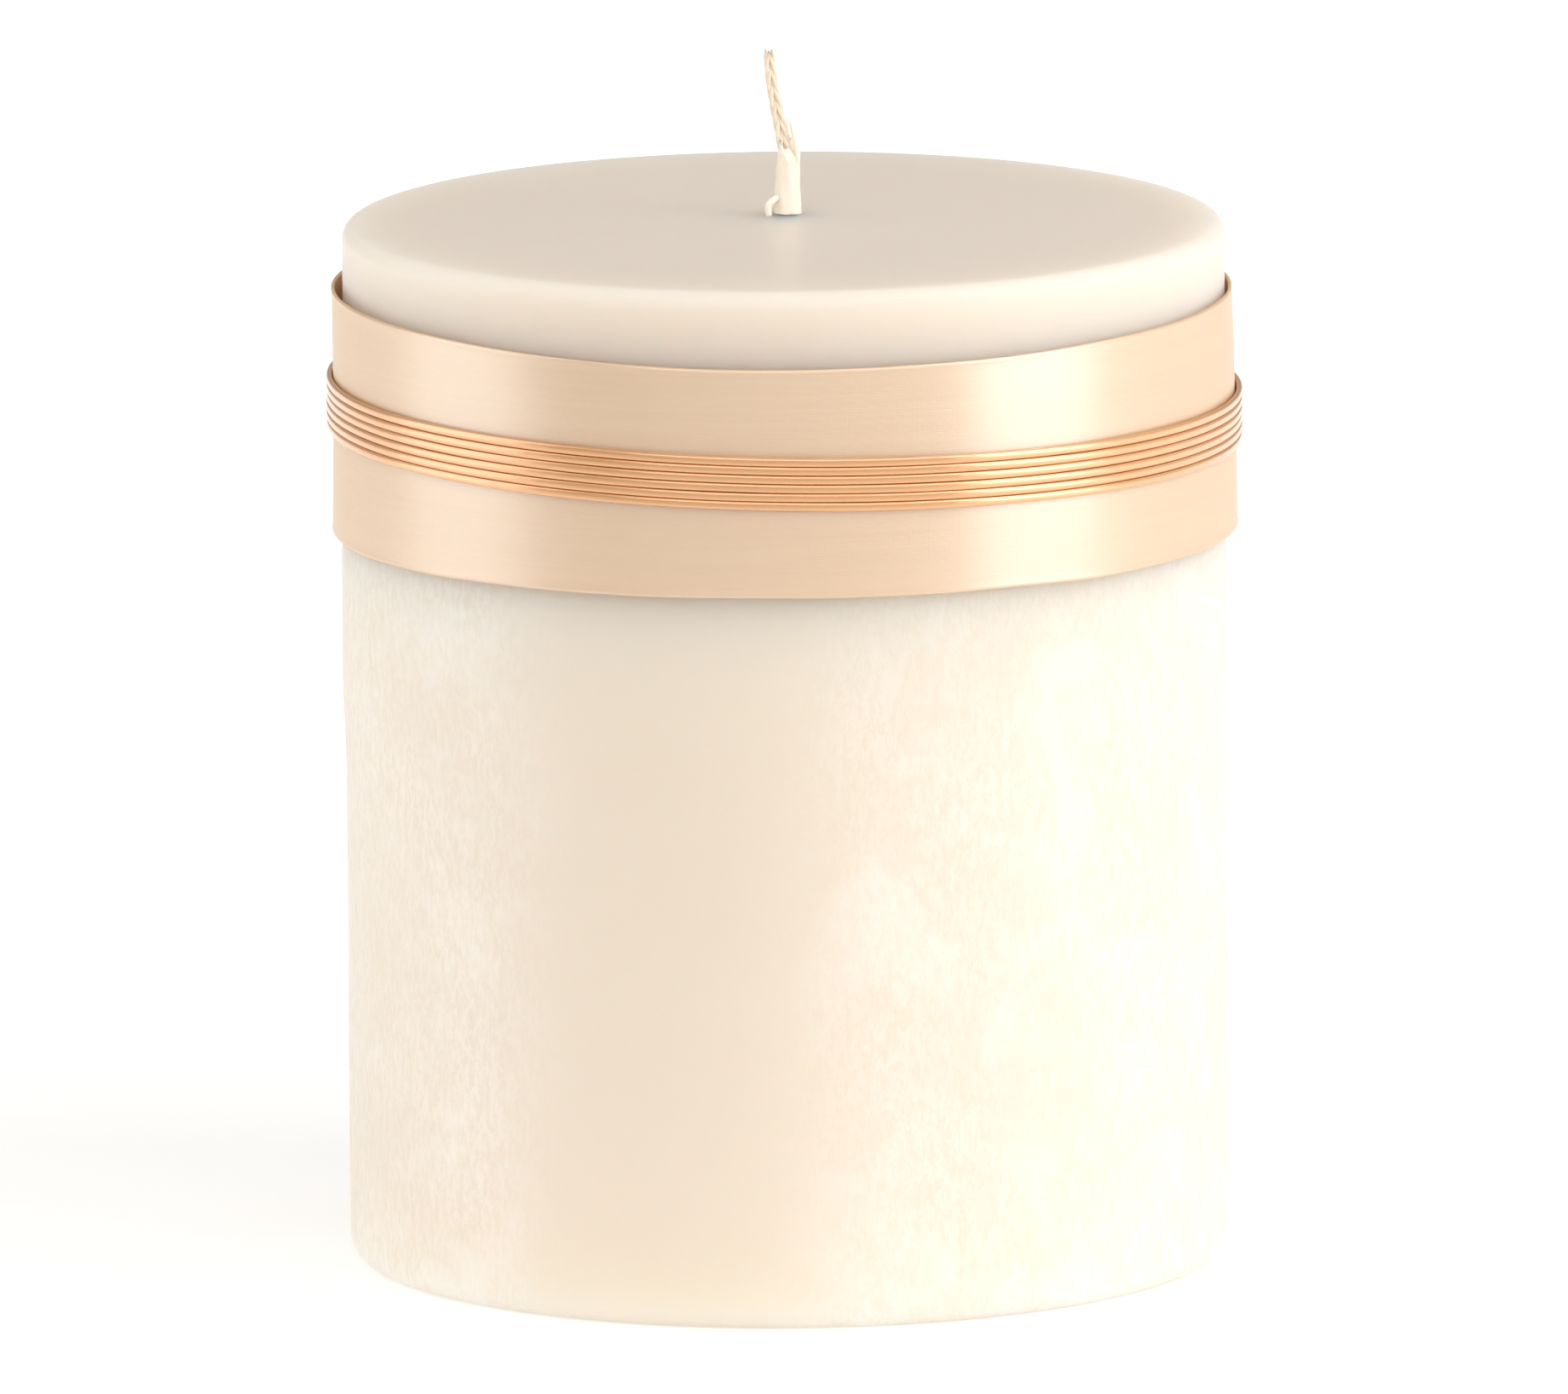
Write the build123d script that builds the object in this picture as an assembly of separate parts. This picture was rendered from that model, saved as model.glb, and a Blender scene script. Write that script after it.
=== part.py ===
from build123d import *
import math
import os

# A pillar candle for a wedding, wrapped in a satin ribbon and a flat band of six cords.
# Millimetres. The origin is the centre of the base, where the candle stands, and +Z is up.
# The candle is seen from -Y; the ends of the ribbon and of the cords meet at the back, on +Y.

# ---- driving dimensions -------------------------------------------------------------------

# wax pillar, sold as 3 by 3.5 inches
WAX_DIAMETER = 75.0
WAX_HEIGHT = 89.0
TOP_ROUND = 1.2
BASE_ROUND = 2.0

# wick: a braid, soaked and thickened by wax up to a little above the pillar, and dry above that
WICK_DIAMETER = 1.9
WICK_DRY_DIAMETER = 1.35
WICK_WAXED_HEIGHT = 5.2
WICK_X = 0.2
WICK_Y = 2.5
WICK_FIT = 0.05
WICK_BASE_Z = 0.4
WICK_BEND_RADIUS = 9.0
# points that the standing end of the wick leans through: X, and height above the wax
WICK_LEAN = [(0.5, 4.2), (-0.6, 10.6), (-1.25, 14.3)]
MOUND_HEIGHT = 0.3
MOUND_RADIUS = 4.0

# sustainer: the tin-plated tab that holds the wick upright in the base
TAB_DIAMETER = 20.0
TAB_THICKNESS = 0.3
TAB_RECESS = 0.3
TAB_RIB_RADIUS = 6.5
TAB_RIB_WIDTH = 0.8
TAB_RIB_HEIGHT = 0.15
NECK_DIAMETER = 3.0
NECK_HEIGHT = 5.0
TAB_FIT = 0.05

# satin ribbon
RIBBON_WIDTH = 20.0
RIBBON_THICKNESS = 0.24
RIBBON_BOTTOM_Z = 63.0
RIBBON_OUTER_RADIUS = 38.4
RIBBON_END_ANGLE = 84.0
RIBBON_STEP_ANGLE = 8.0
RIBBON_TUCK_ANGLE = 18.0

# double-sided tape between the two ends of the ribbon
TAPE_THICKNESS = 0.08
TAPE_GAP = 0.02
TAPE_WIDTH = 16.0
TAPE_ANGLE = 15.0

# the flat band of cords, each one pressed oval
CORD_COUNT = 6
CORD_WIDTH = 0.74
CORD_DEPTH = 0.52
CORD_PITCH = 0.755
CORD_GAP = 0.05
CORD_BAND_Z = 73.2
CORD_BAND_TILT = 1.2
CORD_BAND_LEAN = 0.45
CORD_JOIN_ANGLE = 93.0
CORD_JOIN_WIDTH = 1.6
BEAD_PROUD = 0.15
BEAD_OVERHANG = 0.25
BEAD_FIT = 0.08

# ---- worked out from them -----------------------------------------------------------------

WAX_RADIUS = WAX_DIAMETER / 2
WICK_RADIUS = WICK_DIAMETER / 2
TAPE_OUTER_RADIUS = RIBBON_OUTER_RADIUS - RIBBON_THICKNESS - TAPE_GAP
TUCK_OUTER_RADIUS = TAPE_OUTER_RADIUS - TAPE_THICKNESS - TAPE_GAP
CORD_RING_RADIUS = RIBBON_OUTER_RADIUS + CORD_GAP + CORD_DEPTH / 2
TAB_TOP_Z = TAB_RECESS + TAB_THICKNESS


def at_wick(shape):
    """Moves a shape from the origin to the wick's place."""
    return Pos(WICK_X, WICK_Y, 0) * shape


def standing_cylinder(radius, low, high):
    """A cylinder on the Z axis between two heights."""
    return Pos(0, 0, low) * Cylinder(radius, high - low, align=(Align.CENTER, Align.CENTER, Align.MIN))


def polar(radius, angle):
    """The point in plan at a radius and an angle in degrees."""
    turn = math.radians(angle)
    return (radius * math.cos(turn), radius * math.sin(turn))


# ---- the candle ---------------------------------------------------------------------------


def wax_pillar():
    """The poured wax, bored for the wick and recessed for the sustainer."""
    pillar = standing_cylinder(WAX_RADIUS, 0, WAX_HEIGHT)
    rims = pillar.edges().filter_by(GeomType.CIRCLE).sort_by(Axis.Z)
    pillar = fillet(rims[0], BASE_ROUND)
    rims = pillar.edges().filter_by(GeomType.CIRCLE).sort_by(Axis.Z)
    pillar = fillet(rims[-1], TOP_ROUND)
    mound = Cone(
        MOUND_RADIUS, WICK_DIAMETER, MOUND_HEIGHT, align=(Align.CENTER, Align.CENTER, Align.MIN)
    )
    pillar = pillar + Pos(0, 0, WAX_HEIGHT) * at_wick(mound)
    bore = standing_cylinder(WICK_RADIUS + WICK_FIT, 0, WAX_HEIGHT + 2 * MOUND_HEIGHT)
    recess = standing_cylinder(TAB_DIAMETER / 2 + TAB_FIT, 0, TAB_TOP_Z)
    pocket = standing_cylinder(NECK_DIAMETER / 2 + TAB_FIT, 0, TAB_TOP_Z + NECK_HEIGHT + TAB_FIT)
    for hollow in (bore, recess, pocket):
        pillar = pillar - at_wick(hollow)
    return pillar


def wick():
    """The braid, straight up through the wax and then leaning over above it."""
    waxed_top = WAX_HEIGHT + WICK_WAXED_HEIGHT
    points = [(WICK_X, WICK_Y, WICK_BASE_Z)]
    points += [(WICK_X, WICK_Y, WAX_HEIGHT)]
    points += [(x, WICK_Y, WAX_HEIGHT + height) for x, height in WICK_LEAN]
    path = FilletPolyline(*points, radius=WICK_BEND_RADIUS)
    foot = Plane(origin=points[0], z_dir=(0, 0, 1))
    braid = sweep(foot * Circle(WICK_DRY_DIAMETER / 2), path=path)
    waxed = sweep(foot * Circle(WICK_RADIUS), path=path)
    waxed -= standing_cylinder(WAX_RADIUS, waxed_top, waxed_top + WAX_HEIGHT)
    return braid + waxed


def wick_sustainer():
    """A pressed disc with a drawn neck that grips the wick, and a stiffening rib below."""
    disc = standing_cylinder(TAB_DIAMETER / 2, TAB_RECESS, TAB_TOP_Z)
    neck = standing_cylinder(NECK_DIAMETER / 2, TAB_TOP_Z, TAB_TOP_Z + NECK_HEIGHT)
    rib = standing_cylinder(TAB_RIB_RADIUS + TAB_RIB_WIDTH / 2, TAB_RECESS - TAB_RIB_HEIGHT, TAB_RECESS)
    rib -= standing_cylinder(TAB_RIB_RADIUS - TAB_RIB_WIDTH / 2, 0, TAB_RECESS)
    bore = standing_cylinder(WICK_RADIUS + WICK_FIT, 0, TAB_TOP_Z + 2 * NECK_HEIGHT)
    return at_wick(disc + neck + rib - bore)


# ---- the ribbon and its tape --------------------------------------------------------------


def ribbon_side(outer_radius, tuck_radius):
    """One side of the ribbon in plan: round the candle, a step inwards, and the tucked end."""
    around = 360 - RIBBON_STEP_ANGLE
    main = CenterArc((0, 0), outer_radius, RIBBON_END_ANGLE, around)
    tuck = CenterArc((0, 0), tuck_radius, RIBBON_END_ANGLE, RIBBON_TUCK_ANGLE)
    step = Line(polar(outer_radius, RIBBON_END_ANGLE + around), polar(tuck_radius, RIBBON_END_ANGLE))
    return [main, step, tuck]


def satin_ribbon():
    """The ribbon, once round the candle, with its far end tucked under its near end."""
    inner_radius = RIBBON_OUTER_RADIUS - RIBBON_THICKNESS
    tuck_inner = TUCK_OUTER_RADIUS - RIBBON_THICKNESS
    far_angle = RIBBON_END_ANGLE + RIBBON_TUCK_ANGLE
    edges = ribbon_side(RIBBON_OUTER_RADIUS, TUCK_OUTER_RADIUS)
    edges += ribbon_side(inner_radius, tuck_inner)
    edges += [Line(polar(inner_radius, RIBBON_END_ANGLE), polar(RIBBON_OUTER_RADIUS, RIBBON_END_ANGLE))]
    edges += [Line(polar(tuck_inner, far_angle), polar(TUCK_OUTER_RADIUS, far_angle))]
    plan = make_face(edges)
    return Pos(0, 0, RIBBON_BOTTOM_Z) * extrude(plan, amount=RIBBON_WIDTH, dir=(0, 0, 1))


def round_strip(inner, outer, start, span):
    """The plan of a strip that bends round the candle, from a start angle over a span."""
    edges = [
        CenterArc((0, 0), inner, start, span),
        CenterArc((0, 0), outer, start, span),
        Line(polar(inner, start), polar(outer, start)),
        Line(polar(inner, start + span), polar(outer, start + span)),
    ]
    return make_face(edges)


def ribbon_tape():
    """The strip of tape between the ribbon's two ends."""
    start = RIBBON_END_ANGLE + (RIBBON_TUCK_ANGLE - TAPE_ANGLE) / 2
    plan = round_strip(TAPE_OUTER_RADIUS - TAPE_THICKNESS, TAPE_OUTER_RADIUS, start, TAPE_ANGLE)
    low = RIBBON_BOTTOM_Z + (RIBBON_WIDTH - TAPE_WIDTH) / 2
    return Pos(0, 0, low) * extrude(plan, amount=TAPE_WIDTH, dir=(0, 0, 1))


# ---- the cords ----------------------------------------------------------------------------


def on_band(shape, height):
    """Tilts a shape as the band is, lower on its right and front, and moves it to a height."""
    return Pos(0, 0, CORD_BAND_Z + height) * Rot(CORD_BAND_LEAN, CORD_BAND_TILT, 0) * shape


def join_angle():
    """Half the angle of the gap between the two ends of a cord."""
    return math.degrees(CORD_JOIN_WIDTH / 2 / CORD_RING_RADIUS)


def cord_strand(number):
    """One cord, once round the ribbon; number 1 is the lowest."""
    height = (number - (CORD_COUNT + 1) / 2) * CORD_PITCH
    section = Plane.XZ * Pos(CORD_RING_RADIUS, 0) * Ellipse(CORD_DEPTH / 2, CORD_WIDTH / 2)
    ring = revolve(section, Axis.Z, revolution_arc=360 - 2 * join_angle())
    return on_band(Rot(0, 0, CORD_JOIN_ANGLE + join_angle()) * ring, height)


def cord_glue_bead():
    """The bead of clear glue between the cords' ends."""
    half = join_angle() - math.degrees(BEAD_FIT / CORD_RING_RADIUS)
    inner = RIBBON_OUTER_RADIUS + CORD_GAP
    outer = CORD_RING_RADIUS + CORD_DEPTH / 2 + BEAD_PROUD
    plan = round_strip(inner, outer, CORD_JOIN_ANGLE - half, 2 * half)
    height = CORD_COUNT * CORD_PITCH + 2 * BEAD_OVERHANG
    bead = Pos(0, 0, -height / 2) * extrude(plan, amount=height, dir=(0, 0, 1))
    outside = bead.faces().filter_by(GeomType.CYLINDER).sort_by(SortBy.AREA)[-1]
    bead = fillet(outside.edges(), BEAD_PROUD)
    return on_band(bead, 0)


# ---- write every piece --------------------------------------------------------------------

PIECES = {
    "wax_pillar": wax_pillar(),
    "wick": wick(),
    "wick_sustainer": wick_sustainer(),
    "satin_ribbon": satin_ribbon(),
    "ribbon_tape": ribbon_tape(),
    "cord_glue_bead": cord_glue_bead(),
}
for number in range(1, CORD_COUNT + 1):
    PIECES[f"cord_strand_{number}"] = cord_strand(number)

os.makedirs("parts", exist_ok=True)
for name, piece in PIECES.items():
    export_step(piece, f"parts/{name}.step")
    print(name, round(piece.volume, 2), piece.is_valid)
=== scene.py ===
import math

import bmesh
import bpy
from mathutils import Matrix, Vector, noise


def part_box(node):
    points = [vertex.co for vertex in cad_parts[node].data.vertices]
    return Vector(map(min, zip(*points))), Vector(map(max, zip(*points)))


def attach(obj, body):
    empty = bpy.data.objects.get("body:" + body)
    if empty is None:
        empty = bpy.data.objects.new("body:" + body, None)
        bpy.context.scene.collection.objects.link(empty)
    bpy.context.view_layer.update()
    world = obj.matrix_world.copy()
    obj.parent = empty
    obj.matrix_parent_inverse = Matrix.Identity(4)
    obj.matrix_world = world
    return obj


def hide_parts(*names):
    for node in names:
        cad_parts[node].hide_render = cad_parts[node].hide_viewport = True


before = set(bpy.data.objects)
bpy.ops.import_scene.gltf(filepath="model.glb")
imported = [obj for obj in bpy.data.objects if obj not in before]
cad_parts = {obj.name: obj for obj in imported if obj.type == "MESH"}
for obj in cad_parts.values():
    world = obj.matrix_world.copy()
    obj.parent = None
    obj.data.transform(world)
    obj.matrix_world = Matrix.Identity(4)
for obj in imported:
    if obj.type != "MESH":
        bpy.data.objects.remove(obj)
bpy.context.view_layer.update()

# A pillar candle for a wedding: poured wax, a braided wick, a satin ribbon and a band of cords.
# Metres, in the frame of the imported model. The front is -Y; azimuths are counted from the front
# towards +X, so that 90 degrees is the right side and 180 degrees is the back.

MM = 0.001

# ---- sizes read from the frame ------------------------------------------------------------

WAX_LOW, WAX_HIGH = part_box("wax_pillar")
TAB_LOW, TAB_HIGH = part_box("wick_sustainer")
WICK_LOW, WICK_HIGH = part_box("wick")
RIBBON_LOW, RIBBON_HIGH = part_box("satin_ribbon")
BEAD_LOW, BEAD_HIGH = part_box("cord_glue_bead")
CORD_BOXES = [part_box(f"cord_strand_{number}") for number in range(1, 7)]

WAX_RADIUS = (WAX_HIGH.x - WAX_LOW.x) / 2
MOUND_HEIGHT = 0.3 * MM
WAX_TOP = WAX_HIGH.z - MOUND_HEIGHT
TOP_ROUND = 1.2 * MM
BASE_ROUND = 2.0 * MM
MOUND_RADIUS = 4.0 * MM

WICK_X = (TAB_LOW.x + TAB_HIGH.x) / 2
WICK_Y = (TAB_LOW.y + TAB_HIGH.y) / 2
WICK_BORE = 1.0 * MM
TAB_RADIUS = (TAB_HIGH.x - TAB_LOW.x) / 2
NECK_RADIUS = 1.5 * MM
TAB_TOP = 0.6 * MM
POCKET_FIT = 0.05 * MM

RIBBON_THICKNESS = 0.24 * MM
RIBBON_RADIUS = 38.4 * MM
RIBBON_TUCK_DEPTH = 0.36 * MM
RIBBON_END_AZIMUTH = 174.0
RIBBON_AROUND = 352.0
RIBBON_STEP = 8.0
RIBBON_TUCK = 18.0

CORD_HALF_DEPTH = 0.26 * MM
CORD_HALF_WIDTH = 0.37 * MM
CORD_RING_RADIUS = RIBBON_RADIUS + 0.05 * MM + CORD_HALF_DEPTH
CORD_TILT = 1.2
CORD_LEAN = 0.45
CORD_JOIN_AZIMUTH = 183.0


# ---- small helpers ------------------------------------------------------------------------


def smooth_step(low, high, value):
    """0 below low, 1 above high, and an even curve between them."""
    share = min(1.0, max(0.0, (value - low) / (high - low)))
    return share * share * (3 - 2 * share)


def around(radius, azimuth, height):
    """The point at a radius, an azimuth in degrees and a height."""
    turn = math.radians(azimuth)
    return Vector((radius * math.sin(turn), -radius * math.cos(turn), height))


def ripple(point, size, seed):
    """Even random hills of about that size, from -1 to 1, the same ones on every run."""
    return noise.noise(point / size + Vector((seed, 7.3 * seed, -3.1 * seed)))


def piece(name, rings, material, body, closed=False, caps=False):
    """A mesh lofted through rings of points, one face between each two points and two rings."""
    build = bmesh.new()
    made = [[build.verts.new(point) for point in ring] for ring in rings]
    pairs = list(zip(made, made[1:]))
    if closed:
        pairs.append((made[-1], made[0]))
    for low, high in pairs:
        count = len(low)
        for index in range(count):
            after = (index + 1) % count
            build.faces.new((low[index], low[after], high[after], high[index]))
    if caps:
        build.faces.new(list(reversed(made[0])))
        build.faces.new(made[-1])
    bmesh.ops.recalc_face_normals(build, faces=build.faces)
    for face in build.faces:
        face.smooth = True
    mesh = bpy.data.meshes.new(name)
    build.to_mesh(mesh)
    build.free()
    thing = bpy.data.objects.new(name, mesh)
    bpy.context.collection.objects.link(thing)
    mesh.materials.append(material)
    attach(thing, body)
    return thing


def tube_rings(line, radius, sides):
    """Rings round a line of points; radius takes the share along and the turn, and gives a size."""
    rings = []
    side = Vector((1, 0, 0))
    for index, point in enumerate(line):
        ahead = line[min(index + 1, len(line) - 1)]
        behind = line[max(index - 1, 0)]
        along = (ahead - behind).normalized()
        side = (side - along * side.dot(along)).normalized()
        other = along.cross(side)
        share = index / (len(line) - 1)
        ring = []
        for step in range(sides):
            turn = 2 * math.pi * step / sides
            size = radius(share, turn)
            ring.append(point + side * size * math.cos(turn) + other * size * math.sin(turn))
        rings.append(ring)
    return rings


def through(points, steps):
    """A smooth line that passes through every point, with that many steps between two points."""
    ends = [points[0] * 2 - points[1]] + points + [points[-1] * 2 - points[-2]]
    line = []
    for index in range(1, len(ends) - 2):
        before, start, stop, after = ends[index - 1 : index + 3]
        for step in range(steps):
            share = step / steps
            line.append(
                0.5
                * (
                    start * 2
                    + (stop - before) * share
                    + (before * 2 - start * 5 + stop * 4 - after) * share**2
                    + (start * 3 - before - stop * 3 + after) * share**3
                )
            )
    line.append(points[-1])
    return line


# ---- materials ----------------------------------------------------------------------------
# Colours are linear red, green and blue. A noise scale counts the hills in a metre, the limits of
# a step are the noise levels or places where it starts and ends, and bump depths are in metres.


class Value:
    """A number that changes over a surface; arithmetic on it adds Math nodes."""

    def __init__(self, finish, socket):
        self.finish = finish
        self.socket = socket

    def __add__(self, other):
        return self.finish.math("ADD", self, other)

    def __sub__(self, other):
        return self.finish.math("SUBTRACT", self, other)

    def __rsub__(self, other):
        return self.finish.math("SUBTRACT", other, self)

    def __mul__(self, other):
        return self.finish.math("MULTIPLY", self, other)

    def __truediv__(self, other):
        return self.finish.math("DIVIDE", self, other)

    def __pow__(self, other):
        return self.finish.math("POWER", self, other)

    __radd__ = __add__
    __rmul__ = __mul__


class Finish:
    """A material with one Principled shader and the nodes that feed it."""

    def __init__(self, name, **constants):
        self.material = bpy.data.materials.new(name)
        self.material.use_nodes = True
        self.tree = self.material.node_tree
        self.tree.nodes.clear()
        self.shader = self.node("ShaderNodeBsdfPrincipled")
        output = self.node("ShaderNodeOutputMaterial")
        self.tree.links.new(self.shader.outputs["BSDF"], output.inputs["Surface"])
        for socket, value in constants.items():
            self.set(socket.replace("_", " "), value)
        self.place = self.node("ShaderNodeTexCoord").outputs["Object"]

    def node(self, kind, settings=None, inputs=None):
        """Adds a node, sets it up, and gives its sockets their values or links."""
        made = self.tree.nodes.new(kind)
        for name, value in (settings or {}).items():
            setattr(made, name, value)
        for key, value in (inputs or {}).items():
            self.feed(made.inputs[key], value)
        return made

    def feed(self, socket, value):
        """Links a value to a socket, or sets the socket if the value is a constant."""
        if isinstance(value, Value):
            value = value.socket
        if isinstance(value, bpy.types.NodeSocket):
            self.tree.links.new(value, socket)
        else:
            socket.default_value = value

    def set(self, name, value):
        """Feeds one of the shader's own sockets."""
        self.feed(self.shader.inputs[name], value)

    def math(self, operation, *values):
        """Adds a Math node that works on numbers."""
        made = self.node("ShaderNodeMath", {"operation": operation}, dict(enumerate(values)))
        return Value(self, made.outputs[0])

    def vector(self, operation, *values):
        """Adds a Vector Math node that works on places."""
        made = self.node("ShaderNodeVectorMath", {"operation": operation}, dict(enumerate(values)))
        return made.outputs[0]

    def split(self, vector):
        """The X, Y and Z of a vector."""
        parts = self.node("ShaderNodeSeparateXYZ", inputs={0: vector})
        return [Value(self, socket) for socket in parts.outputs]

    def join(self, x, y, z):
        """A vector made of three numbers."""
        return self.node("ShaderNodeCombineXYZ", inputs={0: x, 1: y, 2: z}).outputs[0]

    def step(self, value, low, high):
        """0 below low, 1 above high, and an even curve between them."""
        made = self.node(
            "ShaderNodeMapRange",
            {"interpolation_type": "SMOOTHSTEP"},
            {"Value": value, "From Min": low, "From Max": high},
        )
        return Value(self, made.outputs[0])

    def noise(self, scale, detail=2.0, roughness=0.5, vector=None, distortion=0.0):
        """Random hills from 0 to 1; scale counts them in a metre."""
        made = self.node(
            "ShaderNodeTexNoise",
            inputs={
                "Vector": vector or self.place,
                "Scale": scale,
                "Detail": detail,
                "Roughness": roughness,
                "Distortion": distortion,
            },
        )
        return Value(self, made.outputs[0])

    def mix(self, share, first, second):
        """A colour between two colours."""
        made = self.node("ShaderNodeMix", {"data_type": "RGBA"}, {0: share, 6: first, 7: second})
        return made.outputs[2]

    def bump(self, height, depth, strength=1.0, under=None):
        """A bump of that depth in metres, on top of another bump if there is one."""
        inputs = {"Height": height, "Distance": depth, "Strength": strength}
        if under:
            inputs["Normal"] = under
        return self.node("ShaderNodeBump", inputs=inputs).outputs[0]

    def arc_place(self, radius):
        """A point's way round the candle, its height and its depth, in metres."""
        x, y, z = self.split(self.place)
        arc = self.math("ARCTAN2", x, 0 - y) * radius
        depth = (x * x + y * y) ** 0.5
        return arc, z, depth


def colour(red, green, blue):
    """An opaque colour for a socket."""
    return (red, green, blue, 1.0)


# the frost fades out between these heights, under the ribbon
FROST_FADE = (66 * MM, 76 * MM)
# and above these the wax is smooth and darker; the darker colour is partly the smooth wax's own tone and
# partly painted shade, for the lesser light that reaches the upper wax from below
SMOOTH_AND_SHADED_FADE = (76 * MM, 84 * MM)
# the azimuth of the clear column that has no frost
CLEAR_AZIMUTH = -16
CLEAR_FADE = (0.86, 0.99)


def wax_finish():
    """Ivory wax: smooth and glossier above the ribbon and darker there, partly its own tone and partly
    painted shade; frosted with fine crystals below it.
    """
    wax = Finish("ivory_wax", IOR=1.44)
    wax.set("Specular IOR Level", 0.2)
    wax.set("Subsurface Weight", 1.0)
    wax.set("Subsurface Radius", (1.0, 0.8, 0.65))
    wax.set("Subsurface Scale", 15.0 * MM)
    x, y, z = wax.split(wax.place)
    clear = around(1, CLEAR_AZIMUTH, 0)
    facing = (x * clear.x + y * clear.y) / WAX_RADIUS
    frosted_side = 1 - wax.step(facing, *CLEAR_FADE)
    below_ribbon = 1 - wax.step(z, *FROST_FADE)
    patches = wax.step(wax.noise(60, 3, 0.6), 0.32, 0.66)
    stretched = wax.vector("MULTIPLY", wax.place, (1, 1, 0.42))
    crystals = wax.noise(1700, 3, 0.6, stretched, 0.6)
    needles = wax.noise(3200, 2, 0.7, stretched, 1.0)
    frost = frosted_side * below_ribbon * (patches * 0.6 + 0.4)
    grain = wax.step(crystals * 0.6 + needles * 0.4, 0.38, 0.62)
    clouds = wax.noise(30, 3, 0.6)
    blotches = wax.step(wax.noise(95, 3, 0.65, None, 0.7), 0.46, 0.66)
    body = wax.mix(clouds, colour(0.76, 0.675, 0.565), colour(0.79, 0.71, 0.605))
    body = wax.mix(frosted_side * below_ribbon * blotches * 0.6, body, colour(0.83, 0.775, 0.705))
    dusted = wax.mix(frost * grain * 0.7, body, colour(0.86, 0.805, 0.73))
    upper = wax.step(z, *SMOOTH_AND_SHADED_FADE)
    # the darker colour above the ribbon and on the top is partly the smooth wax's own tone and partly
    # painted shade, for the lesser light that comes from below
    smooth_and_shaded_top = wax.mix(clouds, colour(0.73, 0.63, 0.535), colour(0.755, 0.66, 0.565))
    wax.set("Base Color", wax.mix(upper, dusted, smooth_and_shaded_top))
    wax.set("Roughness", 0.36 + frost * 0.22 + wax.noise(260, 2) * 0.06)
    skin = wax.bump(wax.noise(150, 3), 0.05 * MM, 0.5)
    wax.set("Normal", wax.bump(frost * grain, 0.03 * MM, 0.5, skin))
    return wax.material


# a dark speck caught in the satin
SPECK_AZIMUTH = -26.5
SPECK_HEIGHT = 80.3 * MM
SPECK_FADE = (0.12 * MM, 0.34 * MM)


def satin_finish():
    """Satin: long floats along the ribbon, sunk a little where the weft ties them down."""
    satin = Finish("peach_satin", IOR=3.5, Anisotropic=0.5)
    satin.set("Subsurface Weight", 0.3)
    satin.set("Subsurface Radius", (1.0, 0.8, 0.6))
    satin.set("Subsurface Scale", 0.5 * MM)
    satin.set("Anisotropic Rotation", 0.25)
    satin.set("Sheen Weight", 0.15)
    satin.set("Sheen Roughness", 0.35)
    satin.set("Sheen Tint", colour(1.0, 0.93, 0.84))
    arc, z, _ = satin.arc_place(RIBBON_RADIUS)
    lie = satin.join(arc, z, 0.0)
    floats = satin.node(
        "ShaderNodeTexBrick",
        {"offset": 0.4, "offset_frequency": 2},
        {
            "Vector": lie,
            "Scale": 1.0,
            "Mortar Size": 0.022 * MM,
            "Mortar Smooth": 0.6,
            "Brick Width": 0.9 * MM,
            "Row Height": 0.16 * MM,
            "Color1": colour(0, 0, 0),
            "Color2": colour(1, 1, 1),
        },
    )
    streaks = satin.noise(1.0, 3, 0.6, satin.join(arc * 40, z * 2600, 0.0))
    bands = satin.noise(1.0, 2, 0.5, satin.join(arc * 12, z * 420, 3.0))
    speck_at = around(RIBBON_RADIUS, SPECK_AZIMUTH, SPECK_HEIGHT)
    away = satin.node("ShaderNodeVectorMath", {"operation": "DISTANCE"}, {0: satin.place, 1: speck_at})
    speck = 1 - satin.step(Value(satin, away.outputs["Value"]), *SPECK_FADE)
    tone = satin.mix(streaks, colour(0.62, 0.37, 0.17), colour(0.71, 0.455, 0.23))
    tone = satin.mix(bands * 0.4, tone, colour(0.77, 0.53, 0.295))
    tone = satin.mix(speck * 0.75, tone, colour(0.45, 0.17, 0.06))
    satin.set("Base Color", tone)
    satin.set("Roughness", 0.32 + streaks * 0.08)
    weave = satin.bump(Value(satin, floats.outputs["Fac"]) * -1, 0.02 * MM, 0.35)
    satin.set("Normal", satin.bump(streaks, 0.03 * MM, 0.35, weave))
    return satin.material


def cord_finish():
    """Copper cord: fine filaments wound along it, with a metallic sheen."""
    cord = Finish("copper_cord", IOR=2.2, Metallic=0.5, Anisotropic=0.5)
    cord.set("Anisotropic Rotation", 0.25)
    cord.set("Coat Weight", 1.0)
    cord.set("Coat IOR", 2.4)
    cord.set("Coat Roughness", 0.26)
    arc, z, depth = cord.arc_place(CORD_RING_RADIUS)
    filaments = cord.noise(1.0, 3, 0.6, cord.join(arc * 160, z * 5200, depth * 5200))
    worn = cord.noise(1.0, 2, 0.5, cord.join(arc * 60, z * 900, 5.0))
    tone = cord.mix(filaments, colour(0.70, 0.26, 0.03), colour(0.81, 0.35, 0.06))
    tone = cord.mix(worn * 0.35, tone, colour(0.88, 0.44, 0.11))
    cord.set("Base Color", tone)
    cord.set("Roughness", 0.24 + filaments * 0.12)
    cord.set("Normal", cord.bump(filaments, 0.025 * MM, 0.4))
    return cord.material


# heights: the wax in the cotton ends, and the tip darkens
SOAKED_FADE = (93 * MM, 98 * MM)
TIP_FADE = (102.4 * MM, 103.3 * MM)


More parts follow.
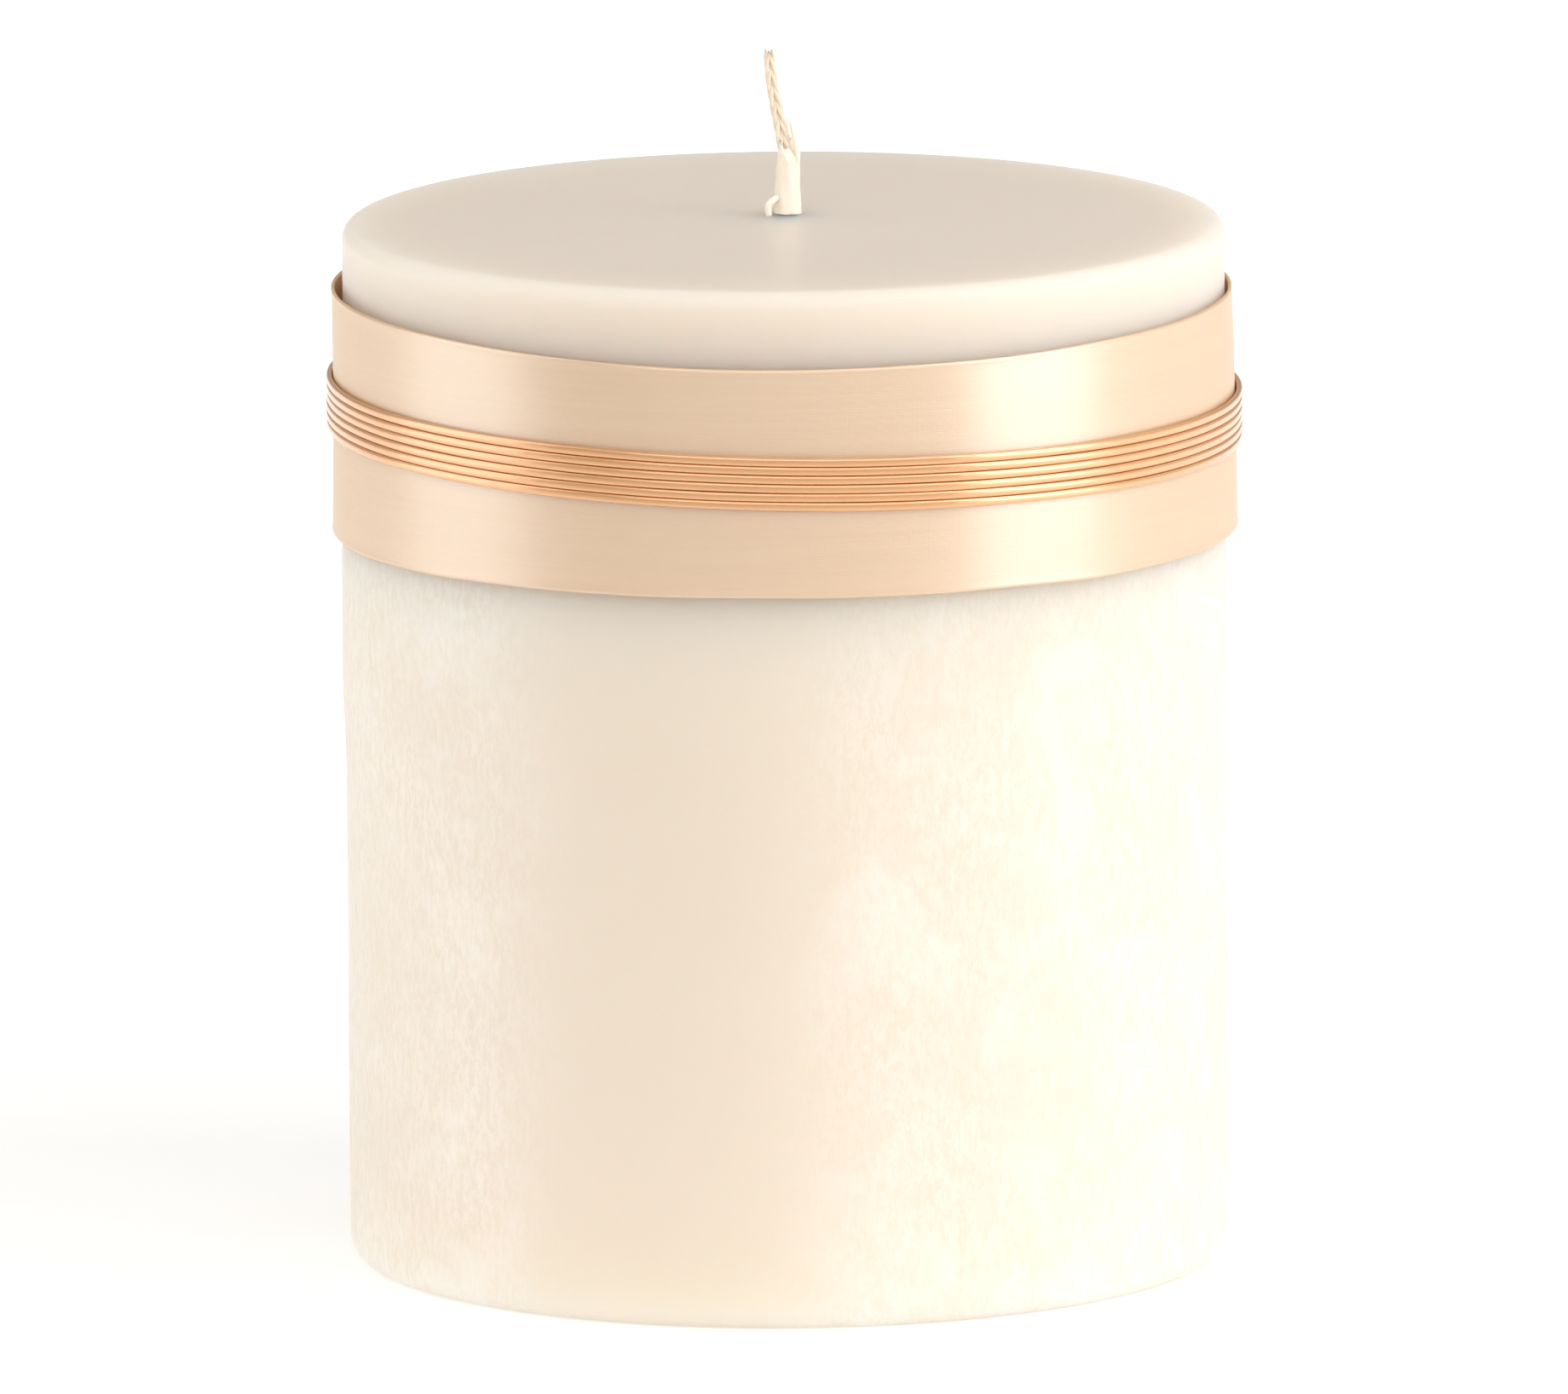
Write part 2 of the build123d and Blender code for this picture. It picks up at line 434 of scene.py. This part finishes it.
def cotton_finish():
    """Bleached cotton, primed with wax and soaked deeper towards its foot."""
    cotton = Finish("primed_cotton", Roughness=0.6)
    cotton.set("Subsurface Weight", 0.2)
    cotton.set("Subsurface Radius", (1.0, 0.8, 0.6))
    cotton.set("Subsurface Scale", 0.5 * MM)
    cotton.set("Sheen Weight", 0.25)
    _, _, z = cotton.split(cotton.place)
    stretched = cotton.vector("MULTIPLY", cotton.place, (1, 1, 0.25))
    fibres = cotton.noise(5200, 3, 0.6, stretched)
    soaked = 1 - cotton.step(z, *SOAKED_FADE)
    tip = cotton.step(z, *TIP_FADE)
    dry = cotton.mix(fibres, colour(0.86, 0.66, 0.48), colour(0.97, 0.86, 0.72))
    waxed = cotton.mix(fibres, colour(0.93, 0.79, 0.62), colour(0.98, 0.90, 0.77))
    tone = cotton.mix(soaked, dry, waxed)
    cotton.set("Base Color", cotton.mix(tip * 0.6, tone, colour(0.46, 0.40, 0.36)))
    cotton.set("Roughness", 0.68 - soaked * 0.2)
    cotton.set("Normal", cotton.bump(fibres, 0.06 * MM, 0.5))
    return cotton.material


def wick_wax_finish():
    """The thin wax that climbed the foot of the wick: paler and glossier than the pillar."""
    coat = Finish("wick_wax", IOR=1.44)
    coat.set("Subsurface Weight", 0.35)
    coat.set("Subsurface Radius", (1.0, 0.8, 0.6))
    coat.set("Subsurface Scale", 0.8 * MM)
    hills = coat.noise(900, 3)
    coat.set("Base Color", coat.mix(hills, colour(0.93, 0.82, 0.68), colour(0.98, 0.91, 0.80)))
    coat.set("Roughness", 0.3 + hills * 0.15)
    coat.set("Normal", coat.bump(hills, 0.06 * MM, 0.5))
    return coat.material


def tin_finish():
    """Thin steel with a bright tin plating, drawn marks and a little dulling."""
    tin = Finish("tinned_steel", Metallic=1.0)
    x, y, z = tin.split(tin.place)
    away = ((x - WICK_X) ** 2 + (y - WICK_Y) ** 2) ** 0.5
    marks = tin.noise(1.0, 2, 0.6, tin.join(away * 6000, z * 900, 0.0))
    dull = tin.noise(220, 3)
    tin.set("Base Color", tin.mix(dull, colour(0.56, 0.55, 0.52), colour(0.74, 0.73, 0.70)))
    tin.set("Roughness", 0.22 + dull * 0.2 + marks * 0.08)
    tin.set("Normal", tin.bump(marks, 0.01 * MM, 0.3))
    return tin.material


def tape_finish():
    """Clear double-sided film, clouded by its glue."""
    tape = Finish("clear_tape", Roughness=0.35)
    cloud = tape.noise(600, 3)
    tape.set("Base Color", tape.mix(cloud, colour(0.86, 0.84, 0.78), colour(0.93, 0.92, 0.88)))
    tape.set("Roughness", 0.25 + cloud * 0.25)
    return tape.material


def glue_finish():
    """Set clear glue, slightly milky."""
    glue = Finish("clear_glue", IOR=1.48)
    glue.set("Transmission Weight", 0.3)
    glue.set("Subsurface Weight", 0.2)
    glue.set("Subsurface Scale", 0.6 * MM)
    haze = glue.noise(700, 2)
    glue.set("Base Color", glue.mix(haze, colour(0.93, 0.78, 0.60), colour(0.97, 0.87, 0.72)))
    glue.set("Roughness", 0.12 + haze * 0.12)
    glue.set("Normal", glue.bump(haze, 0.05 * MM, 0.4))
    return glue.material


# ---- the wax pillar -----------------------------------------------------------------------

RING_POINTS = 300
SIDE_RINGS = 150
ROUND_RINGS = 9
FACE_RINGS = 26
MOUND_RINGS = 8
MOUND_HOLLOW = 1.6
# how high the waves in the wax are, each with the size of its hills
SIDE_WAVES = [(0.06 * MM, 24 * MM, 1), (0.02 * MM, 7 * MM, 2)]
FACE_WAVE = (0.07 * MM, 17 * MM, 3)
# the left side stands out by this much between these heights
LEFT_SWELL = 0.25 * MM
SWELL_RISE = (43 * MM, 50 * MM)
SWELL_FALL = (60 * MM, 66 * MM)


def wax_ring(radius, height, at_wick):
    """A ring of the wax; at_wick is 1 for a ring round the wick and 0 for one round the middle."""
    centre = Vector((WICK_X * at_wick, WICK_Y * at_wick, height))
    return [centre + around(radius, 360 * index / RING_POINTS, 0) for index in range(RING_POINTS)]


def worked_wax(point):
    """Moves a point of the outer skin by the slight waves that pouring and handling leave."""
    flat = Vector((point.x, point.y, 0))
    out = flat.normalized() if flat.length > MM else Vector((0, 0, 0))
    on_side = smooth_step(0.90, 0.99, flat.length / WAX_RADIUS)
    wave = sum(high * ripple(point, size, seed) for high, size, seed in SIDE_WAVES)
    left = max(0.0, -out.x) ** 2
    swell = smooth_step(*SWELL_RISE, point.z) * (1 - smooth_step(*SWELL_FALL, point.z))
    point = point + out * on_side * (wave + LEFT_SWELL * left * swell)
    face = smooth_step(WAX_TOP - TOP_ROUND, WAX_TOP, point.z) * (1 - on_side)
    high, size, seed = FACE_WAVE
    point.z += face * high * ripple(point, size, seed)
    return point


def wax_body(material):
    """The pillar with its bore, the mound at the wick and the recess for the sustainer."""
    bore_foot = TAB_HIGH.z + POCKET_FIT
    inside = [(WICK_BORE, bore_foot, 1), (NECK_RADIUS + POCKET_FIT, bore_foot, 1)]
    inside += [(NECK_RADIUS + POCKET_FIT, TAB_TOP, 1), (TAB_RADIUS + POCKET_FIT, TAB_TOP, 1)]
    inside += [(TAB_RADIUS + POCKET_FIT, 0, 1)]
    outside = []
    flat = WAX_RADIUS - BASE_ROUND
    start = TAB_RADIUS + POCKET_FIT
    for step in range(1, FACE_RINGS):
        share = step / FACE_RINGS
        outside.append((start + (flat - start) * share, 0, 1 - share))
    for step in range(ROUND_RINGS + 1):
        turn = math.pi / 2 * step / ROUND_RINGS
        outside.append((flat + BASE_ROUND * math.sin(turn), BASE_ROUND * (1 - math.cos(turn)), 0))
    side_top = WAX_TOP - TOP_ROUND
    for step in range(1, SIDE_RINGS):
        outside.append((WAX_RADIUS, BASE_ROUND + (side_top - BASE_ROUND) * step / SIDE_RINGS, 0))
    for step in range(ROUND_RINGS + 1):
        turn = math.pi / 2 * step / ROUND_RINGS
        radius = WAX_RADIUS - TOP_ROUND * (1 - math.cos(turn))
        outside.append((radius, side_top + TOP_ROUND * math.sin(turn), 0))
    rim = WAX_RADIUS - TOP_ROUND
    for step in range(1, FACE_RINGS):
        share = step / FACE_RINGS
        outside.append((rim + (MOUND_RADIUS - rim) * share, WAX_TOP, share))
    for step in range(MOUND_RINGS + 1):
        share = step / MOUND_RINGS
        radius = MOUND_RADIUS + (WICK_BORE - MOUND_RADIUS) * share
        outside.append((radius, WAX_TOP + MOUND_HEIGHT * share**MOUND_HOLLOW, 1))
    rings = [wax_ring(*ring) for ring in inside]
    rings += [[worked_wax(point) for point in wax_ring(*ring)] for ring in outside]
    body = piece("wax_body", rings, material, "candle", closed=True)
    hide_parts("wax_pillar")


# ---- the wick -----------------------------------------------------------------------------

YARN_COUNT = 6
PLAIT_LENGTH = 8.5 * MM
PLAIT_WIDTH = 0.41 * MM
PLAIT_DEPTH = 0.15 * MM
YARN_RADIUS = 0.22 * MM
YARN_STEP = 0.16 * MM
YARN_SIDES = 12
# how much thinner the tip of the wick is than its foot
TIP_SLIMMING = 0.24
# where the middle of the wick passes: X from its bore, and height above the wax
WICK_LEAN = [(0.0, 0.5), (0.28, 4.2), (-0.05, 6.0), (-0.4, 7.9), (-0.75, 9.7), (-1.1, 11.8)]
WICK_LEAN += [(-1.34, 14.4)]


def above_wax(points):
    """Points given in millimetres from the wick's bore and the top of the wax."""
    return [Vector((WICK_X + x * MM, WICK_Y + y * MM, WAX_TOP + up * MM)) for x, y, up in points]


def wick_middle():
    """The line down the middle of the wick, from the sustainer to the tip."""
    points = [Vector((WICK_X, WICK_Y, WICK_LOW.z + share * (WAX_TOP - WICK_LOW.z))) for share in (0, 0.5)]
    return points + above_wax([(x, 0, up) for x, up in WICK_LEAN])


def even_line(points, step):
    """The smooth line through the points, with points an even step apart."""
    fine = through(points, 60)
    line = [fine[0]]
    left = step
    for start, stop in zip(fine, fine[1:]):
        run = (stop - start).length
        while left <= run and run > 0:
            start = start.lerp(stop, left / run)
            run = (stop - start).length
            line.append(start)
            left = step
        left -= run
    return line


def wick_braid(material):
    """Thin yarns in a flat, drawn-out plait that narrows towards a blunt tip."""
    line = even_line(wick_middle(), YARN_STEP)

    def slim(height):
        return 1 - TIP_SLIMMING * smooth_step(WAX_TOP + 6 * MM, WICK_HIGH.z, height)

    for number in range(YARN_COUNT):
        yarn = []
        for index, point in enumerate(line[: len(line) - number % 3]):
            turn = 2 * math.pi * (index * YARN_STEP / PLAIT_LENGTH + number / YARN_COUNT)
            sway = Vector((PLAIT_WIDTH * math.sin(turn), PLAIT_DEPTH * math.sin(2 * turn), 0))
            loose = 0.03 * MM * ripple(point, 1.7 * MM, 40 + number)
            yarn.append(point + sway * slim(point.z) + Vector((loose, loose, 0)))

        def radius(share, turn):
            height = WICK_LOW.z + share * (WICK_HIGH.z - WICK_LOW.z)
            end = 1 - 0.45 * smooth_step(0.992, 1.0, share) ** 2
            ridges = 1 + 0.06 * math.sin(4 * turn + 160 * share + number)
            return YARN_RADIUS * slim(height) * end * ridges

        name = f"wick_yarn_{number + 1}"
        rings = tube_rings(yarn, radius, YARN_SIDES)
        made = piece(name, rings, material, "candle", caps=True)
        if number == 0:
            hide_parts("wick")


COAT_TOP = 5.1 * MM
COAT_ROWS = 46
COAT_SHOULDER_ROWS = 10
COAT_SIDES = 48
# how far the shoulder of the coat moves over towards the braid, and how high it rises
SHOULDER_SHIFT = 0.36 * MM
SHOULDER_RISE = 1.1 * MM
# the coat's outline: height above the wax, its middle in X, and its half width
COAT_OUTLINE = [(0.05, 0.1, 1.3), (0.3, 0.14, 1.16), (0.8, 0.16, 1.12)]
COAT_OUTLINE += [(2.0, 0.17, 1.1), (3.4, 0.24, 1.03), (5.1, 0.3, 0.95)]


def coat_outline(height):
    """The middle and the half width of the wax coat at a height above the wax."""
    for (low, *start), (high, *stop) in zip(COAT_OUTLINE, COAT_OUTLINE[1:]):
        if height <= high * MM:
            share = smooth_step(low * MM, high * MM, height)
            return [(first + (last - first) * share) * MM for first, last in zip(start, stop)]
    return [value * MM for value in COAT_OUTLINE[-1][1:]]


def wick_coat(material):
    """The wax that climbed the foot of the wick: lobed like the strands in it, ragged at its top."""
    foot = 0.05 * MM
    rings = []
    for row in range(COAT_ROWS + COAT_SHOULDER_ROWS + 1):
        ring = []
        for step in range(COAT_SIDES):
            turn = 2 * math.pi * step / COAT_SIDES
            rag = 1 + 0.07 * math.sin(2 * turn + 0.6) + 0.04 * math.sin(5 * turn)
            share = min(row, COAT_ROWS) / COAT_ROWS
            height = foot + share * (COAT_TOP * rag - foot)
            middle, half = coat_outline(min(height, COAT_TOP))
            lobes = 0.045 * math.cos(3 * turn - 1.4 * share) + 0.03 * math.cos(7 * turn + 5 * share)
            spot = Vector((math.cos(turn), math.sin(turn), height / MM))
            half *= 1 + lobes + 0.05 * ripple(spot, 0.7, 33)
            closing = max(0, row - COAT_ROWS) / COAT_SHOULDER_ROWS
            half *= 1 - 0.4 * smooth_step(0, 1, closing)
            middle -= SHOULDER_SHIFT * closing**1.4
            height += closing * SHOULDER_RISE
            x = WICK_X + middle + half * math.cos(turn)
            y = WICK_Y + 0.85 * half * math.sin(turn)
            ring.append(Vector((x, y, WAX_TOP + height)))
        rings.append(ring)
    piece("wick_wax_coat", rings, material, "candle", caps=True)


WISP_STEP = 0.08 * MM
CURL_RADIUS = 0.25 * MM
CURL_LINE = [(-0.5, -0.5, 1.75), (-1.0, -0.7, 1.5), (-1.45, -0.8, 1.0), (-1.4, -0.85, 0.1)]
LOOSE_RADIUS = 0.2 * MM
LOOSE_LINE = [(0.85, -0.3, 3.9), (0.98, -0.42, 5.3), (0.75, -0.45, 6.8), (0.42, -0.4, 8.3)]


def wick_wisps(wax, cotton):
    """The curl of wax at the foot of the wick, and the loose strand on its right."""

    def curl_radius(share, turn):
        return CURL_RADIUS * (1 + 0.2 * math.sin(3 * share))

    def loose_radius(share, turn):
        return LOOSE_RADIUS * (1 - 0.6 * share**3)

    curl = even_line(above_wax(CURL_LINE), WISP_STEP)
    rings = tube_rings(curl, curl_radius, 14)
    piece("wick_base_curl", rings, wax, "candle", caps=True)
    loose = even_line(above_wax(LOOSE_LINE), WISP_STEP)
    rings = tube_rings(loose, loose_radius, 12)
    piece("wick_loose_strand", rings, cotton, "candle", caps=True)


# ---- the ribbon ---------------------------------------------------------------------------

RIBBON_STATIONS = 520
# how far across the ribbon its points lie: close together at the woven edges
RIBBON_ACROSS = [0, 0.006, 0.016, 0.03, 0.05, 0.1, 0.18, 0.27, 0.36, 0.45, 0.55, 0.64, 0.73, 0.82, 0.9]
RIBBON_ACROSS += [0.95, 0.97, 0.984, 0.994, 1]


def facing_shares(azimuth):
    """How far an azimuth faces the front, the left and the right, from 0 to 1."""
    turn = math.radians(azimuth)
    front = max(0.0, math.cos(turn)) ** 2
    left = max(0.0, -math.sin(turn)) ** 2
    right = max(0.0, math.sin(turn)) ** 2
    return front, left, right


def ribbon_edges(azimuth):
    """The heights of the ribbon's lower and upper edge at an azimuth."""
    front, left, right = facing_shares(azimuth)
    spot = around(RIBBON_RADIUS, azimuth, 0)
    upper = RIBBON_HIGH.z + (0.1 - 0.6 * front + 0.65 * left + 0.3 * right) * MM
    lower = RIBBON_LOW.z + (0.08 * front - 0.25 * left - 0.2 * right) * MM
    upper += 0.10 * MM * ripple(spot, 14 * MM, 11)
    lower += 0.12 * MM * ripple(spot, 10 * MM, 12)
    return lower, upper


def ribbon_ring(travel):
    """The closed section of the ribbon after so many degrees of travel from its near end."""
    azimuth = RIBBON_END_AZIMUTH + travel
    tucked = smooth_step(RIBBON_AROUND, RIBBON_AROUND + RIBBON_STEP, travel)
    middle = RIBBON_RADIUS - RIBBON_THICKNESS / 2 - RIBBON_TUCK_DEPTH * tucked
    lower, upper = ribbon_edges(azimuth)
    front, left, right = facing_shares(azimuth)
    free = 1 - tucked
    spot = around(RIBBON_RADIUS, azimuth, 0)
    outer, inner = [], []
    # a thicker woven edge, a lower part that stands off the wax, an upper part drawn in to it,
    # slight buckles, and a dip where the cords press
    for share in RIBBON_ACROSS:
        from_edge = min(share, 1 - share) * (upper - lower)
        bead = math.exp(-((from_edge / (0.32 * MM)) ** 2))
        half = RIBBON_THICKNESS / 2 * (0.92 + 0.45 * bead) * min(1.0, 0.35 + from_edge / (0.12 * MM))
        lift = free * (0.12 * left * share**5 + 0.12 * (1 - share) ** 2) * MM
        snug = free * (0.06 + 0.48 * front + 0.26 * right) * share**3 * MM
        buckle = free * 0.03 * MM * ripple(spot + Vector((0, 0, share * 6 * MM)), 8 * MM, 13)
        press = -0.04 * MM * math.exp(-(((share - 0.5) / 0.2) ** 2)) * free
        radius = middle + lift + buckle + press - snug
        height = lower + (upper - lower) * share
        outer.append(around(radius + half, azimuth, height))
        inner.append(around(radius - half, azimuth, height))
    return outer + inner[::-1]


def ribbon(material):
    """The satin strip, once round the candle, with its far end tucked under its near end."""
    length = RIBBON_AROUND + RIBBON_STEP + RIBBON_TUCK
    rings = [ribbon_ring(length * step / RIBBON_STATIONS) for step in range(RIBBON_STATIONS + 1)]
    strip = piece("satin_strip", rings, material, "ribbon_sleeve", caps=True)
    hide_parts("satin_ribbon")


# ---- the cords ----------------------------------------------------------------------------

CORD_STATIONS = 900
CORD_SIDES = 24
# 1 gives an oval section, and less gives a section with flatter faces
CORD_FLATNESS = 0.68
# degrees from the middle of the glue to the end of a cord
CORD_GAP = 0.9
# the small play that keeps two cords apart
CORD_PLAY = 0.99


def cord(number, material):
    """One cord round the ribbon, from one side of the glue to the other, pressed oval."""
    low, high = CORD_BOXES[number]
    lean = Matrix.Rotation(math.radians(CORD_LEAN), 3, "X")
    tilt = lean @ Matrix.Rotation(math.radians(CORD_TILT), 3, "Y")
    lift = Vector((0, 0, (low.z + high.z) / 2))
    rings = []
    for step in range(CORD_STATIONS + 1):
        azimuth = CORD_JOIN_AZIMUTH + CORD_GAP + (360 - 2 * CORD_GAP) * step / CORD_STATIONS
        spot = around(CORD_RING_RADIUS, azimuth, 0)
        wander = 0.02 * MM * ripple(spot, 11 * MM, 20 + number)
        swell = 1 + 0.10 * ripple(spot, 16 * MM, 50 + number)
        swell += 0.02 * ripple(spot, 1.3 * MM, 60 + number)
        deep = CORD_HALF_DEPTH * swell
        ring = []
        for side in range(CORD_SIDES):
            turn = 2 * math.pi * side / CORD_SIDES
            face = math.copysign(abs(math.cos(turn)) ** CORD_FLATNESS, math.cos(turn))
            flank = math.copysign(abs(math.sin(turn)) ** CORD_FLATNESS, math.sin(turn))
            out = CORD_HALF_DEPTH * (swell - 1) + deep * face
            up = wander + CORD_HALF_WIDTH * CORD_PLAY * flank
            ring.append(tilt @ around(CORD_RING_RADIUS + out, azimuth, up) + lift)
        rings.append(ring)
    name = f"copper_cord_{number + 1}"
    strand = piece(name, rings, material, "ribbon_sleeve", caps=True)
    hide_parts(f"cord_strand_{number + 1}")


BEAD_ROWS = 26
BEAD_SIDES = 30
# the bead reaches this many degrees to each side, and this far out from the cords' middle
BEAD_SPREAD = 1.45 * 1.25
BEAD_DEPTH = 0.48 * MM


def glue_bead(material):
    """The lump of clear glue over the cords' ends."""
    middle = (BEAD_LOW.z + BEAD_HIGH.z) / 2
    tall = (BEAD_HIGH.z - BEAD_LOW.z) / 2
    rings = []
    for row in range(1, BEAD_ROWS):
        lean = math.pi * (row / BEAD_ROWS - 0.5)
        height = math.copysign(abs(math.sin(lean)) ** 0.8, math.sin(lean))
        wide = math.cos(lean) ** 0.55
        ring = []
        for step in range(BEAD_SIDES):
            turn = 2 * math.pi * step / BEAD_SIDES
            rough = 1 + 0.08 * ripple(Vector((math.cos(turn), math.sin(turn), height * 3)), 0.8, 31)
            out = BEAD_DEPTH * wide * rough * math.sin(turn)
            azimuth = CORD_JOIN_AZIMUTH + BEAD_SPREAD * wide * rough * math.cos(turn)
            ring.append(around(CORD_RING_RADIUS + 0.10 * MM + out, azimuth, middle + tall * height))
        rings.append(ring)
    bead = piece("glue_bead", rings, material, "ribbon_sleeve", caps=True)
    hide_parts("cord_glue_bead")


# ---- studio -------------------------------------------------------------------------------

CAMERA_DISTANCE = 4.0
CAMERA_RISE = 10.0
CAMERA_ROLL = -0.39
CAMERA_LENS = 1078.5
CAMERA_TARGET = Vector((-0.2 * MM, 0, 47.9 * MM))
CAMERA_REACH = 40
SENSOR_WIDTH = 36.0


def camera():
    """A long lens far off, a little above the candle and square on to its front."""
    data = bpy.data.cameras.new("camera")
    data.lens = CAMERA_LENS
    data.sensor_width = SENSOR_WIDTH
    data.clip_end = CAMERA_REACH
    rise = math.radians(CAMERA_RISE)
    back = Vector((0, -math.cos(rise), math.sin(rise)))
    thing = bpy.data.objects.new("camera", data)
    thing.location = CAMERA_TARGET + back * CAMERA_DISTANCE
    aim = (-back).to_track_quat("-Z", "Y").to_matrix().to_4x4()
    roll = Matrix.Rotation(math.radians(CAMERA_ROLL), 4, "Z")
    thing.rotation_euler = (aim @ roll).to_euler()
    bpy.context.collection.objects.link(thing)
    bpy.context.scene.camera = thing


STRIP_DISTANCE = 0.5
STRIP_HEIGHT = 0.94
STRIP_MIDDLE = 0.48
# the name, azimuth and spread in degrees, and radiance of each upright strip
STRIP_LIGHTS = [("right_strip", 65, 35, 3.0), ("rear_strip", 112, 44, 0.34), ("left_strip", -87, 42, 1.4)]
# the name, place, width, height and radiance of each softbox
SOFTBOXES = [
    ("overhead_softbox", Vector((0.15, 0.2, 1.0)), 0.9, 0.9, 0.34),
    ("front_softbox", Vector((0.0, -1.1, 0.95)), 2.0, 1.2, 1.42),
]
SOFTBOX_AIM = Vector((0, 0, 60 * MM))
ROOM_RADIANCE = 0.36


def softbox(name, place, aim, wide, tall, radiance):
    """A rectangular light turned to a point, which the camera doesn't see."""
    data = bpy.data.lights.new(name, "AREA")
    data.shape = "RECTANGLE"
    data.size = wide
    data.size_y = tall
    data.energy = radiance * math.pi * wide * tall
    thing = bpy.data.objects.new(name, data)
    thing.location = place
    thing.rotation_euler = (aim - place).to_track_quat("-Z", "Y").to_euler()
    thing.visible_camera = False
    bpy.context.collection.objects.link(thing)


def strip_light(name, azimuth, spread, radiance):
    """An upright softbox that spans so many degrees, seen from the candle."""
    wide = 2 * STRIP_DISTANCE * math.tan(math.radians(spread / 2))
    middle = Vector((0, 0, STRIP_MIDDLE))
    softbox(name, around(STRIP_DISTANCE, azimuth, STRIP_MIDDLE), middle, wide, STRIP_HEIGHT, radiance)


def studio():
    """Upright strips right, behind and left, softboxes above and in front, and a pale room."""
    for name, azimuth, spread, radiance in STRIP_LIGHTS:
        strip_light(name, azimuth, spread, radiance)
    for name, place, wide, tall, radiance in SOFTBOXES:
        softbox(name, place, SOFTBOX_AIM, wide, tall, radiance)
    world = bpy.data.worlds.new("white_room")
    bpy.context.scene.world = world
    world.use_nodes = True
    room = world.node_tree.nodes["Background"]
    room.inputs["Color"].default_value = colour(1.0, 0.985, 0.965)
    room.inputs["Strength"].default_value = ROOM_RADIANCE
    bpy.context.scene.view_settings.view_transform = "Standard"


TABLE_GLOW = 0.8
TABLE_HALF_SIZE = 4.0
# the front of the table, from the first Y to the second, stays dim
DIM_FRONT = (-0.26, -0.06)
# the glow grows to full between these distances from the candle
GLOW_GROWTH = (0.1, 0.45)
GLOW_AT_CANDLE = 0.55


def floor():
    """A pale matt table top, lit from inside like a light table except along its front."""
    white = Finish("white_table", Roughness=0.8)
    grain = white.noise(60, 2)
    white.set("Base Color", white.mix(grain, colour(0.62, 0.615, 0.605), colour(0.64, 0.635, 0.625)))
    x, y, _ = white.split(white.place)
    growth = white.step((x * x + y * y) ** 0.5, *GLOW_GROWTH)
    lit = white.step(y, *DIM_FRONT) * (GLOW_AT_CANDLE + growth * (1 - GLOW_AT_CANDLE))
    white.set("Emission Color", white.mix(lit, colour(0.1, 0.1, 0.1), colour(1.0, 0.99, 0.975)))
    white.set("Emission Strength", TABLE_GLOW)
    build = bmesh.new()
    bmesh.ops.create_grid(build, x_segments=8, y_segments=8, size=TABLE_HALF_SIZE)
    mesh = bpy.data.meshes.new("table_top")
    build.to_mesh(mesh)
    build.free()
    mesh.materials.append(white.material)
    table = bpy.data.objects.new("table_top", mesh)
    bpy.context.collection.objects.link(table)


# ---- everything together ------------------------------------------------------------------

camera()
studio()
floor()

wax_body(wax_finish())
cotton = cotton_finish()
wick_wax = wick_wax_finish()
wick_braid(cotton)
wick_coat(wick_wax)
wick_wisps(wick_wax, cotton)

ribbon(satin_finish())
copper = cord_finish()
for number in range(len(CORD_BOXES)):
    cord(number, copper)
glue_bead(glue_finish())

for node, material in (("wick_sustainer", tin_finish()), ("ribbon_tape", tape_finish())):
    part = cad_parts[node]
    for place in part.material_slots:
        place.material = material
